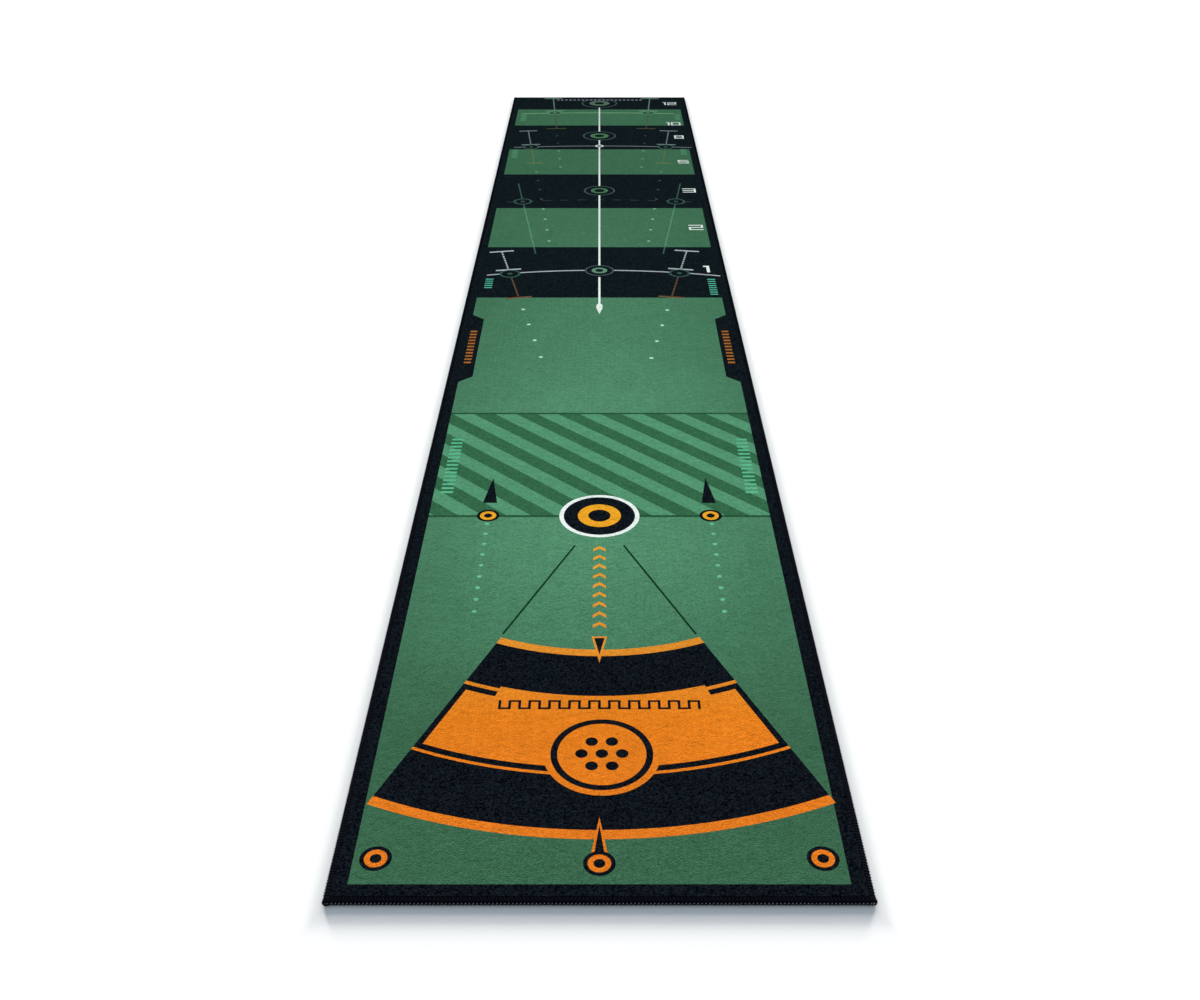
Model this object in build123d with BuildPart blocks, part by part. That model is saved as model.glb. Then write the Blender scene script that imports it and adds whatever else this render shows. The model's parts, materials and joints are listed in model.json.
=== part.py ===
from build123d import *
from math import asin, degrees, sqrt
import os

os.makedirs("parts", exist_ok=True)

# Practice putting mat, unrolled on a floor. Millimetres: X across the mat, Y towards
# its far end, Z up. The origin is the centre of the underside.

# Overall size
mat_width = 500
mat_length = 3000

# Layers, from the floor up
rubber_thickness = 2.0
latex_thickness = 0.5
cloth_thickness = 0.5
root_height = 2.4
tip_height = 1.0

# Overlocked edge: a wrap of yarn that presses the layers together
yarn_thickness = 1.0
under_lap_thickness = 0.8
edge_lap = 6.0
edge_press = 0.4
corner_radius = 2.0
top_edge_radius = 1.2
under_edge_radius = 0.6

latex_base = rubber_thickness
cloth_base = latex_base + latex_thickness
root_base = cloth_base + cloth_thickness
print_base = root_base + root_height
pressed_top = print_base - edge_press
wrap_top = pressed_top + yarn_thickness

body_width = mat_width - 2 * yarn_thickness
body_length = mat_length - 2 * yarn_thickness
pile_width = mat_width - 2 * edge_lap
pile_length = mat_length - 2 * edge_lap


# ---- Layers that run under the whole mat ----

with BuildSketch() as body_outline:
    Rectangle(body_width, body_length)

with BuildSketch() as lap_outline:
    Rectangle(body_width, body_length)
    Rectangle(pile_width, pile_length, mode=Mode.SUBTRACT)

with BuildPart() as rubber_backing:
    add(body_outline.sketch)
    extrude(amount=rubber_thickness)
    add(lap_outline.sketch)
    extrude(amount=under_lap_thickness, mode=Mode.SUBTRACT)
rubber_backing.part.label = "rubber_backing"
export_step(rubber_backing.part, "parts/rubber_backing.step")

with BuildPart() as latex_coat:
    with BuildSketch(Plane.XY.offset(latex_base)):
        add(body_outline.sketch)
    extrude(amount=latex_thickness)
latex_coat.part.label = "latex_coat"
export_step(latex_coat.part, "parts/latex_coat.step")

with BuildPart() as primary_backing:
    with BuildSketch(Plane.XY.offset(cloth_base)):
        add(body_outline.sketch)
    extrude(amount=cloth_thickness)
primary_backing.part.label = "primary_backing"
export_step(primary_backing.part, "parts/primary_backing.step")

with BuildPart() as tuft_roots:
    with BuildSketch(Plane.XY.offset(root_base)):
        add(body_outline.sketch)
    extrude(amount=root_height)
    with BuildSketch(Plane.XY.offset(pressed_top)):
        add(lap_outline.sketch)
    extrude(amount=edge_press, mode=Mode.SUBTRACT)
tuft_roots.part.label = "tuft_roots"
export_step(tuft_roots.part, "parts/tuft_roots.step")


# ---- Overlock yarn: one run along each edge, mitred where two runs meet ----

floor_up = (Align.CENTER, Align.CENTER, Align.MIN)

with BuildPart() as wrap:
    Box(mat_width, mat_length, wrap_top, align=floor_up)
    fillet(wrap.edges().filter_by(Axis.Z), corner_radius)
    fillet(wrap.faces().sort_by(Axis.Z)[-1].edges(), top_edge_radius)
    fillet(wrap.faces().sort_by(Axis.Z)[0].edges(), under_edge_radius)
    Box(pile_width, pile_length, wrap_top, align=floor_up, mode=Mode.SUBTRACT)
    with Locations((0, 0, under_lap_thickness)):
        Box(body_width, body_length, pressed_top - under_lap_thickness, align=floor_up, mode=Mode.SUBTRACT)

outer_x = mat_width / 2
outer_y = mat_length / 2
inner_x = pile_width / 2
inner_y = pile_length / 2
side_run = [(outer_x, -outer_y), (outer_x, outer_y), (inner_x, inner_y), (inner_x, -inner_y)]
end_run = [(-outer_x, outer_y), (-inner_x, inner_y), (inner_x, inner_y), (outer_x, outer_y)]


def opposite(corners):
    return [(-x, -y) for x, y in corners]


overlock_runs = {
    "overlock_right": side_run,
    "overlock_left": opposite(side_run),
    "overlock_far": end_run,
    "overlock_near": opposite(end_run),
}

for name, corners in overlock_runs.items():
    with BuildPart() as overlock:
        add(wrap.part)
        with BuildSketch():
            Polygon(*corners, align=None)
        extrude(amount=wrap_top, mode=Mode.INTERSECT)
    overlock.part.label = name
    export_step(overlock.part, f"parts/{name}.step")


# ---- Printed pattern ----
#
# The print is dyed into the pile tips, so each colour is a group of tufts whose top
# millimetre is that colour. It is laid out on a plane at the foot of the tips, with its
# origin at the centre of the practice hole: y runs to the far end, and the arcs, the fan
# and the rows of dots are all concentric with the hole or radial from it.

hole_from_near_edge = 660
hole_y = hole_from_near_edge - mat_length / 2
print_plane = Plane(origin=(0, hole_y, print_base))

near_limit = -hole_from_near_edge + edge_lap
far_limit = mat_length - hole_from_near_edge - edge_lap

far_side = 90
near_side = -90

ray_dash = 7
ray_dash_pitch = 11


def bar(x, y, width, length):
    """Rectangle with its sides along and across the mat."""
    with Locations((x, y)):
        Rectangle(width, length)


def disc(x, y, radius):
    with Locations((x, y)):
        Circle(radius)


def ring(x, y, outer_radius, inner_radius):
    with Locations((x, y)):
        Circle(outer_radius)
        Circle(inner_radius, mode=Mode.SUBTRACT)


def triangle(x, base_y, tip_y, half_width):
    Polygon((x - half_width, base_y), (x + half_width, base_y), (x, tip_y), align=None)


def across(start_y, end_y):
    """Full-width band of the playing field between two distances."""
    bar(0, (start_y + end_y) / 2, 2 * field_edge, end_y - start_y)


def ladder(x, start_y, count, width, rung, pitch):
    """Column of short bars across the mat."""
    for step in range(count):
        bar(x, start_y + step * pitch, width, rung)


def sector(inner_radius, outer_radius, direction, half_angle):
    """Part of a ring about the hole, centred on a direction in degrees."""
    start = direction - half_angle
    with BuildSketch() as piece:
        with BuildLine():
            outer = CenterArc((0, 0), outer_radius, start, 2 * half_angle)
            inner = CenterArc((0, 0), inner_radius, start, 2 * half_angle)
            Line(outer @ 0, inner @ 0)
            Line(outer @ 1, inner @ 1)
        make_face()
    return piece.sketch


def arc_to_sides(radius, thickness, left_x, right_x):
    """Arc about the hole that ends at two distances from the centre line."""
    left = degrees(asin(left_x / radius))
    right = degrees(asin(right_x / radius))
    direction = far_side - (left + right) / 2
    return sector(radius - thickness / 2, radius + thickness / 2, direction, (right - left) / 2)


def ray_bar(angle, start_radius, end_radius, width):
    """Bar along a ray from the hole, at an angle right of the far direction."""
    with PolarLocations((start_radius + end_radius) / 2, 1, start_angle=far_side - angle):
        Rectangle(end_radius - start_radius, width)


def ray_dashes(angle, start_radius, end_radius, width):
    """Row of short bars along a ray from the hole."""
    for step in range(int((end_radius - start_radius) / ray_dash_pitch)):
        dash_start = start_radius + ray_dash + step * ray_dash_pitch
        ray_bar(angle, dash_start, dash_start + ray_dash, width)


def cross_bar(angle, radius, thickness, length):
    """Bar square to a ray from the hole."""
    with PolarLocations(radius, 1, start_angle=far_side - angle):
        Rectangle(thickness, length)


def ray_disc(angle, radius, disc_radius, mode=Mode.ADD):
    with PolarLocations(radius, 1, start_angle=far_side - angle):
        Circle(disc_radius, mode=mode)


# Playing field: green fields and black bands, by where each one ends
field_edge = 230
near_field_start = -640
hatch_start = -4
hatch_end = 304
middle_field_end = 778
black_band_1_end = 1054
green_band_1_end = 1308
black_band_2_end = 1565
green_band_2_end = 1783
black_band_3_end = 2018
green_band_3_end = 2192

# Black tabs that step into the middle field from both sides
tab_inner_edge = 208.5
tab_start = 414
tab_end = 695
tab_chamfer = 20.5
tab_centre = (tab_start + tab_end) / 2

with BuildSketch() as near_field:
    across(near_field_start, hatch_start)

with BuildSketch() as middle_field:
    across(hatch_end, middle_field_end)
    Polygon(
        (field_edge, tab_start),
        (tab_inner_edge, tab_start + tab_chamfer),
        (tab_inner_edge, tab_end - tab_chamfer),
        (field_edge, tab_end),
        align=None,
        mode=Mode.SUBTRACT,
    )
    Polygon(
        (-field_edge, tab_start),
        (-tab_inner_edge, tab_start + tab_chamfer),
        (-tab_inner_edge, tab_end - tab_chamfer),
        (-field_edge, tab_end),
        align=None,
        mode=Mode.SUBTRACT,
    )

with BuildSketch() as black_band_1:
    across(middle_field_end, black_band_1_end)

with BuildSketch() as green_band_1:
    across(black_band_1_end, green_band_1_end)

with BuildSketch() as black_band_2:
    across(green_band_1_end, black_band_2_end)

with BuildSketch() as green_band_2:
    across(black_band_2_end, green_band_2_end)

with BuildSketch() as black_band_3:
    across(green_band_2_end, black_band_3_end)

with BuildSketch() as green_band_3:
    across(black_band_3_end, green_band_3_end)

with BuildSketch() as black_band_4:
    across(green_band_3_end, far_limit)

with BuildSketch() as border:
    bar(0, (near_limit + far_limit) / 2, pile_width, far_limit - near_limit)

# Hatched zone past the hole: diagonal stripes that fall to the right
stripe_pitch = 65.5
stripe_shift = 0.849
edge_line_width = 5
hatch_middle = (hatch_start + hatch_end) / 2

with BuildSketch() as hatch_light:
    across(hatch_start, hatch_end)

with BuildSketch() as hatch_dark:
    for step in range(-5, 9):
        stripe_x = (step + stripe_shift) * stripe_pitch - hatch_middle
        with Locations((stripe_x, hatch_middle)):
            Rectangle(2 * hatch_end, stripe_pitch / 2 / sqrt(2), rotation=-45)
    with Locations((0, hatch_middle)):
        Rectangle(2 * field_edge, hatch_end - hatch_start, mode=Mode.INTERSECT)

with BuildSketch() as hatch_lines:
    across(hatch_start, hatch_start + edge_line_width)
    across(hatch_end - edge_line_width, hatch_end)

# Practice hole: the size of a real hole, 108 mm, inside the white ring
hole_radius = 54
hole_white_inner = 48
hole_orange_outer = 29
hole_orange_inner = 15

with BuildSketch() as hole_black:
    Circle(hole_radius)

with BuildSketch() as hole_white:
    ring(0, 0, hole_radius, hole_white_inner)

with BuildSketch() as hole_orange:
    ring(0, 0, hole_orange_outer, hole_orange_inner)

# Small aiming rings: two corners, the near middle, and one each side of the hole
aim_radius = 15.2
aim_orange_outer = 11
aim_orange_inner = 5.5
corner_ring_x = 209
corner_ring_y = -609
near_ring_y = -615
side_ring_x = 150
aim_places = [
    (-corner_ring_x, corner_ring_y),
    (corner_ring_x, corner_ring_y),
    (0, near_ring_y),
    (-side_ring_x, 0),
    (side_ring_x, 0),
]
needle_base = 33
needle_tip = 102
needle_half_width = 9.8

with BuildSketch() as aim_black:
    for x, y in aim_places:
        disc(x, y, aim_radius)

with BuildSketch() as aim_orange:
    for x, y in aim_places:
        ring(x, y, aim_orange_outer, aim_orange_inner)

with BuildSketch() as aim_needles:
    triangle(-side_ring_x, needle_base, needle_tip, needle_half_width)
    triangle(side_ring_x, needle_base, needle_tip, needle_half_width)

# Rows of dots beside the run-up to the hole
tempo_pitch = 24.7
tempo_count = 9
tempo_start = -21
dot_radius = 3.0

with BuildSketch() as tempo_dots:
    for step in range(tempo_count):
        disc(-side_ring_x, tempo_start - step * tempo_pitch, dot_radius)
        disc(side_ring_x, tempo_start - step * tempo_pitch, dot_radius)

# Chevrons on the centre line, pointing at the hole
chevron_count = 9
chevron_start = -252
chevron_pitch = 20.5
chevron_half_width = 8
chevron_rise = 7
chevron_thickness = 6

with BuildSketch() as centre_chevrons:
    for step in range(chevron_count):
        foot = chevron_start + step * chevron_pitch
        Polygon(
            (-chevron_half_width, foot),
            (0, foot + chevron_rise),
            (chevron_half_width, foot),
            (chevron_half_width, foot + chevron_thickness),
            (0, foot + chevron_rise + chevron_thickness),
            (-chevron_half_width, foot + chevron_thickness),
            align=None,
        )

# Stance fan in front of the hole
fan_left_angle = 23
fan_right_angle = 23.4
fan_direction = near_side + (fan_right_angle - fan_left_angle) / 2
fan_half_angle = (fan_left_angle + fan_right_angle) / 2
fan_inner = 293
fan_outer = 585
fan_arc_width = 12
panel_inner = 375
notch_inner = 378.5
notch_line = 384
notch_outer = 392.5
notch_left_angle = 16.9
notch_right_angle = 18.1
panel_outer = 487.5
rim_inner = 495.5
rim_outer = 499.5
panel_side_inset = 7
fan_sides = [(-1, fan_left_angle, notch_left_angle), (1, fan_right_angle, notch_right_angle)]

with BuildSketch() as fan_black:
    add(sector(fan_inner, fan_outer, fan_direction, fan_half_angle))

with BuildSketch() as fan_lines:
    add(sector(fan_inner, fan_inner + fan_arc_width, fan_direction, fan_half_angle))
    add(sector(fan_outer - fan_arc_width, fan_outer, fan_direction, fan_half_angle))
    add(sector(rim_inner, rim_outer, fan_direction, fan_half_angle))
    for side, fan_angle, notch_angle in fan_sides:
        notch_direction = near_side + side * (fan_angle + notch_angle) / 2
        add(sector(notch_inner, notch_line, notch_direction, (fan_angle - notch_angle) / 2))

with BuildSketch() as fan_panel:
    add(sector(panel_inner, panel_outer, fan_direction, fan_half_angle))
    for side, fan_angle, notch_angle in fan_sides:
        notch_direction = near_side + side * (fan_angle + notch_angle) / 2
        notch_half = (fan_angle - notch_angle) / 2 + 0.01
        add(sector(panel_inner - 1, notch_outer, notch_direction, notch_half), mode=Mode.SUBTRACT)
        with PolarLocations(0, 1, start_angle=near_side + side * fan_angle):
            Rectangle(2 * fan_outer, 2 * panel_side_inset, mode=Mode.SUBTRACT)

# Guide lines from the fan's sides towards the hole
guide_start = 80
guide_end = 287
guide_width = 2.8
guide_angle = 180 - 23.2

with BuildSketch() as guide_lines:
    ray_bar(-guide_angle, guide_start, guide_end, guide_width)
    ray_bar(guide_angle, guide_start, guide_end, guide_width)

# Round badge on the fan: a ring about a golf ball's dimples
badge_x = 2.5
badge_y = -466.5
badge_radius = 60.5
badge_ring_outer = 53
badge_ring_inner = 46
dimple_radius = 6.5
dimple_spread = 21
dimple_count = 6

with BuildSketch() as badge_orange:
    disc(badge_x, badge_y, badge_radius)

with BuildSketch() as badge_black:
    ring(badge_x, badge_y, badge_ring_outer, badge_ring_inner)
    disc(badge_x, badge_y, dimple_radius)
    with Locations((badge_x, badge_y)):
        with PolarLocations(dimple_spread, dimple_count):
            Circle(dimple_radius)

# Meander above the badge: upright strokes joined in turn at the top and at the foot
meander_step = 10.8
meander_count = 21
meander_y = -389.5
meander_height = 15
meander_stroke = 3

with BuildSketch() as fan_meander:
    for step in range(meander_count):
        upright_x = (step - (meander_count - 1) / 2) * meander_step
        bar(upright_x, meander_y, meander_stroke, meander_height)
    for step in range(meander_count - 1):
        link_x = (step - (meander_count - 2) / 2) * meander_step
        link_side = 1 if step % 2 else -1
        link_y = meander_y + link_side * (meander_height - meander_stroke) / 2
        bar(link_x, link_y, meander_step, meander_stroke)

# Pointers: one at the fan's top, one at its foot
top_pointer_base = -268
top_pointer_tip = -317
foot_pointer_base = -604
foot_pointer_tip = -556

with BuildSketch() as pointer_orange:
    triangle(0, top_pointer_base, top_pointer_tip, 9)
    triangle(0, foot_pointer_base, foot_pointer_tip, 8)

with BuildSketch() as pointer_black:
    triangle(0, top_pointer_base - 3, top_pointer_tip + 15, 6)
    triangle(0, foot_pointer_base, foot_pointer_tip - 10, 5)

# Ladders of short bars beside the field
side_ladder_pitch = 11
side_ladder_rung = 5
hatch_ladder_x = 212
hatch_ladder_start = 62
hatch_ladder_count = 15
tab_ladder_x = 222
tab_ladder_pitch = 13
tab_ladder_count = 11
tab_ladder_start = tab_centre - (tab_ladder_count - 1) / 2 * tab_ladder_pitch

with BuildSketch() as hatch_ladders:
    for x in (-hatch_ladder_x, hatch_ladder_x):
        ladder(x, hatch_ladder_start, hatch_ladder_count, 17, side_ladder_rung, side_ladder_pitch)

with BuildSketch() as tab_ladders:
    for x in (-tab_ladder_x, tab_ladder_x):
        ladder(x, tab_ladder_start, tab_ladder_count, 12, 6, tab_ladder_pitch)

with BuildSketch() as far_ladders:
    ladder(-213, 829, 5, 15, side_ladder_rung, side_ladder_pitch)
    ladder(217, 795, 8, 15, side_ladder_rung, side_ladder_pitch)
    ladder(-214, 1710, 7, 15, side_ladder_rung, side_ladder_pitch)
    ladder(214, 1738, 5, 15, side_ladder_rung, side_ladder_pitch)
    ladder(-211, 2070, 8, 15, side_ladder_rung, side_ladder_pitch)
    ladder(217, 2078, 6, 15, side_ladder_rung, side_ladder_pitch)

# Row of short bars at the far end
end_row_y = 2303
end_row_count = 21
end_row_pitch = 12

with BuildSketch() as end_row:
    with Locations((0, end_row_y)):
        with GridLocations(end_row_pitch, 1, end_row_count, 1):
            Rectangle(7, 16)

# Centre line, broken at the practice cups, with an arrow head at its near end
line_width = 4
arrow_tip = 699
arrow_shoulder = 726
arrow_heel = 742
arrow_base = 748
arrow_half_width = 5.5
line_runs = [(arrow_base, 884), (944, 1404), (1470, 1872), (1954, 2216)]
line_ring_y = 1815
line_ring_outer = 11
line_ring_inner = 6.5

with BuildSketch() as centre_line:
    Polygon(
        (0, arrow_tip),
        (arrow_half_width, arrow_shoulder),
        (arrow_half_width, arrow_heel),
        (line_width / 2, arrow_base),
        (-line_width / 2, arrow_base),
        (-arrow_half_width, arrow_heel),
        (-arrow_half_width, arrow_shoulder),
        align=None,
    )
    for start, end in line_runs:
        bar(0, (start + end) / 2, line_width, end - start)
    ring(0, line_ring_y, line_ring_outer, line_ring_inner)

# Practice cups on the centre line: distance, outer ring, inner ring and hole radius
cups = [(920, 29, 15.5, 8), (1437, 36, 20, 12), (1913, 43.5, 24.5, 13), (2264, 51, 29, 14)]
cup_ring_width = 3.5

with BuildSketch() as cup_black:
    for distance, outer_radius, inner_radius, eye_radius in cups:
        disc(0, distance, outer_radius)

with BuildSketch() as cup_outer_rings:
    for distance, outer_radius, inner_radius, eye_radius in cups:
        ring(0, distance, outer_radius, outer_radius - cup_ring_width)

with BuildSketch() as cup_inner_rings:
    for distance, outer_radius, inner_radius, eye_radius in cups:
        ring(0, distance, inner_radius, eye_radius)

# Distance arcs, all about the hole
arc_width = 5
arc_left = -220
arc_right = 236
dash_length = 20
dash_count = 11

with BuildSketch() as distance_arc_1:
    add(arc_to_sides(921, arc_width, arc_left, arc_right))

with BuildSketch() as distance_arc_2:
    dash_radius = 1368
    dash_angle = degrees(dash_length / dash_radius)
    for step in range(dash_count):
        dash_direction = far_side + (2 * step - dash_count + 1) * dash_angle
        add(sector(dash_radius - 1.5, dash_radius + 1.5, dash_direction, dash_angle / 2))

with BuildSketch() as distance_arc_3:
    add(arc_to_sides(1815, arc_width + 1, arc_left, arc_right))

with BuildSketch() as distance_arc_4:
    add(arc_to_sides(2155, arc_width + 1, -215, 210))

# Gates: pairs of rings on the distance arcs, with sight lines along the rays.
# Each pair is a left and a right angle from the far direction, and a radius.
gate_1 = (-11.0, 9.85, 919)
gate_2 = (-7.3, 7.3, 1367)
gate_3 = (-5.55, 5.4, 1815)
gate_4 = (-3.32, 3.63, 2158)
gate_outer = 21
gate_inner = 16.5
gate_eye = 5
sight_width = 3.2
gate_bar_width = 6

with BuildSketch() as gate_black:
    for left, right, radius in (gate_1, gate_2, gate_3, gate_4):
        for angle in (left, right):
            ray_disc(angle, radius, gate_outer)

with BuildSketch() as gate_rings:
    for left, right, radius in (gate_1, gate_2, gate_3, gate_4):
        for angle in (left, right):
            ray_disc(angle, radius, gate_outer)
            ray_disc(angle, radius, gate_inner, mode=Mode.SUBTRACT)
            ray_disc(angle, radius, gate_eye)

# White dashed sight lines with a bar at each end: radius of the near and far bar, bar length
with BuildSketch() as gate_sights:
    for (left, right, radius), near_bar, far_bar, bar_length in (
        (gate_1, 941, 1047, 50),
        (gate_3, 1837, 1971, 48),
        (gate_4, 2180, 2325, 52),
    ):
        for angle in (left, right):
            ray_dashes(angle, near_bar, far_bar, sight_width)
            cross_bar(angle, near_bar, gate_bar_width, bar_length)
            cross_bar(angle, far_bar, gate_bar_width, bar_length)

# Long pale sight lines through the second gate
long_sight_start = 1023
long_sight_end = 1505

with BuildSketch() as long_sights:
    for angle in gate_2[:2]:
        ray_bar(angle, long_sight_start, long_sight_end, sight_width)

# Orange dashed rays short of the gates: start, end and length of the cross bar
with BuildSketch() as orange_rays:
    for (left, right, radius), ray_start, ray_end, bar_length in (
        (gate_1, 793, 898, 50),
        (gate_3, 1669, 1790, 40),
        (gate_4, 1990, 2136, 52),
    ):
        for angle in (left, right):
            cross_bar(angle, ray_start, gate_bar_width, bar_length)
            ray_dashes(angle, ray_start, ray_end, sight_width)

# Dots along the rays between the gates: angle, first radius, step and count
dot_rows = [
    (-11.0, 521, 71, 4),
    (9.85, 515, 71, 4),
    (-5.5, 1096, 71, 8),
    (5.4, 1096, 71, 8),
    (-3.35, 1629, 72, 5),
    (3.63, 1629, 72, 5),
]
ray_dot_radius = 3.5

with BuildSketch() as ray_dots:
    for angle, first_radius, radius_step, count in dot_rows:
        for step in range(count):
            ray_disc(angle, first_radius + step * radius_step, ray_dot_radius)

# Distance numerals down the right side, in square strokes: text, place, digit size and stroke
tens_shift = 24
units_shift = 6
segments = {
    "0": "abcdef",
    "1": "bch",
    "2": "abged",
    "3": "abgcd",
    "5": "afgcd",
    "8": "abcdefg",
}
numerals = [
    ("1", 212, 928, 12, 36, 6),
    ("2", 207.5, 1177.5, 31, 33, 4.5),
    ("3", 208.5, 1438, 31, 30, 4.5),
    ("5", 208.5, 1672.5, 27, 28, 4.5),
    ("8", 210, 1901, 25, 31, 4.5),
    ("10", 202.5, 2036, 26, 31, 4.5),
    ("12", 202.5, 2260, 26, 31, 4.5),
]


def digit(character, x, y, width, height, stroke):
    """One square-stroked digit: a top, b and c right, d foot, e and f left, g middle, h flag."""
    side = (width - stroke) / 2
    top = (height - stroke) / 2
    upright = (height + stroke) / 2
    quarter = (height - stroke) / 4
    strokes = {
        "a": (0, top, width, stroke),
        "b": (side, quarter, stroke, upright),
        "c": (side, -quarter, stroke, upright),
        "d": (0, -top, width, stroke),
        "e": (-side, -quarter, stroke, upright),
        "f": (-side, quarter, stroke, upright),
        "g": (0, 0, width, stroke),
        "h": (side - stroke, top, stroke, stroke),
    }
    for letter in segments[character]:
        shift_x, shift_y, stroke_width, stroke_length = strokes[letter]
        bar(x + shift_x, y + shift_y, stroke_width, stroke_length)


with BuildSketch() as distance_numerals:
    for text, x, y, width, height, stroke in numerals:
        if len(text) == 1:
            digit(text, x, y, width, height, stroke)
        else:
            digit(text[0], x - tens_shift, y, width, height, stroke)
            digit(text[1], x + units_shift, y, width, height, stroke)

# Top print first: each colour is cut away by every one above it in this list
prints = [
    ("hole_white_ring", hole_white),
    ("hole_orange_ring", hole_orange),
    ("hole_black", hole_black),
    ("aim_ring_orange", aim_orange),
    ("aim_ring_black", aim_black),
    ("aim_needles", aim_needles),
    ("pointer_black", pointer_black),
    ("pointer_orange", pointer_orange),
    ("badge_black", badge_black),
    ("badge_orange", badge_orange),
    ("fan_meander", fan_meander),
    ("fan_orange_panel", fan_panel),
    ("fan_orange_lines", fan_lines),
    ("fan_black", fan_black),
    ("guide_lines", guide_lines),
    ("tempo_dots", tempo_dots),
    ("centre_chevrons", centre_chevrons),
    ("hatch_ladders", hatch_ladders),
    ("hatch_edge_lines", hatch_lines),
    ("hatch_dark_stripes", hatch_dark),
    ("hatch_light_stripes", hatch_light),
    ("tab_ladders", tab_ladders),
    ("far_ladders", far_ladders),
    ("end_row", end_row),
    ("distance_numerals", distance_numerals),
    ("cup_outer_rings", cup_outer_rings),
    ("cup_inner_rings", cup_inner_rings),
    ("cup_black", cup_black),
    ("centre_line", centre_line),
    ("gate_rings", gate_rings),
    ("gate_black", gate_black),
    ("gate_sights", gate_sights),
    ("orange_rays", orange_rays),
    ("long_sights", long_sights),
    ("ray_dots", ray_dots),
    ("distance_arc_1", distance_arc_1),
    ("distance_arc_2", distance_arc_2),
    ("distance_arc_3", distance_arc_3),
    ("distance_arc_4", distance_arc_4),
    ("near_green_field", near_field),
    ("middle_green_field", middle_field),
    ("black_band_1", black_band_1),
    ("green_band_1", green_band_1),
    ("black_band_2", black_band_2),
    ("green_band_2", green_band_2),
    ("black_band_3", black_band_3),
    ("green_band_3", green_band_3),
    ("black_band_4", black_band_4),
    ("black_border", border),
]

above = []
for name, print_sketch in prints:
    with BuildPart() as dyed_tips:
        with BuildSketch(print_plane):
            add(print_sketch.sketch)
            for upper in above:
                add(upper, mode=Mode.SUBTRACT)
        extrude(amount=tip_height)
    dyed_tips.part.label = name
    export_step(dyed_tips.part, f"parts/{name}.step")
    above.append(print_sketch.sketch)
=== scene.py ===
import bpy
import bmesh
import json
import math
import random
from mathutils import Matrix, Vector
from mathutils.geometry import delaunay_2d_cdt
from mathutils.kdtree import KDTree


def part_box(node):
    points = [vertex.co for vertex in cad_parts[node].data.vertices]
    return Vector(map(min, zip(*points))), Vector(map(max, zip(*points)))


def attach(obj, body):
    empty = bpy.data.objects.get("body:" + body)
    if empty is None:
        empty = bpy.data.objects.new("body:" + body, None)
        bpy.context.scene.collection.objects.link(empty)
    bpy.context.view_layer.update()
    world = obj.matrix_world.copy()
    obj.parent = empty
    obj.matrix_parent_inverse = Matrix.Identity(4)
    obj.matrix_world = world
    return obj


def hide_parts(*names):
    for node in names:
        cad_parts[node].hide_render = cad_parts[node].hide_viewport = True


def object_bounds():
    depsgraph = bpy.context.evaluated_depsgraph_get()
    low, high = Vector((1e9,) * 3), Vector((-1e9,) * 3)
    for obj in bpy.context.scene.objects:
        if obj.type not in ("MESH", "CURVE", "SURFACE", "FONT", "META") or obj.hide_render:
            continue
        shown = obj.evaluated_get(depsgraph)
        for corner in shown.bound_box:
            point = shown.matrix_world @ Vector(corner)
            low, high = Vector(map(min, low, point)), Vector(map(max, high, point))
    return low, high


# Practice putting mat: cut pile printed in many colours, sewn round with overlock yarn.

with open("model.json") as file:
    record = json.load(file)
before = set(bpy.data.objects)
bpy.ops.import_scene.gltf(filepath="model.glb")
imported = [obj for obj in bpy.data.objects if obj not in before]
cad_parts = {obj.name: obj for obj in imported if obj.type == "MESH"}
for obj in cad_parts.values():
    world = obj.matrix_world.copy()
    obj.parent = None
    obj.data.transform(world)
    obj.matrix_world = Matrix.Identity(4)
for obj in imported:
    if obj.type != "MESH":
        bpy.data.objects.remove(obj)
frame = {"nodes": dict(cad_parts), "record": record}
cadLow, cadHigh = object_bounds()
slotOf = {part["node"]: part["material_slot"] for part in frame["record"]["subparts"]}
mm = 0.001


def linear(srgb):
    # 0-255 screen colour to the shader's own
    out = []
    for channel in srgb:
        c = channel / 255
        out.append(c / 12.92 if c <= 0.04045 else ((c + 0.055) / 1.055) ** 2.4)
    return (*out, 1.0)


def meshObject(name, verts, faces):
    mesh = bpy.data.meshes.new(name)
    mesh.from_pydata([tuple(v) for v in verts], [], faces)
    mesh.validate()
    piece = bpy.data.objects.new(name, mesh)
    bpy.context.scene.collection.objects.link(piece)
    return piece


def finishPiece(piece, slotName, nodes=()):
    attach(piece, "root")
    if nodes:
        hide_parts(*nodes)
    return piece


def cloudTexture(name, size, depth):
    tex = bpy.data.textures.new(name, "CLOUDS")
    tex.noise_scale = size
    tex.noise_depth = depth
    return tex


def displace(piece, tex, strength, axis="Z", group=""):
    mod = piece.modifiers.new("displace_" + tex.name, "DISPLACE")
    mod.texture = tex
    mod.texture_coords = "LOCAL"
    mod.direction = axis
    mod.strength = strength
    mod.mid_level = 0.5
    if group:
        mod.vertex_group = group
    return mod


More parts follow.
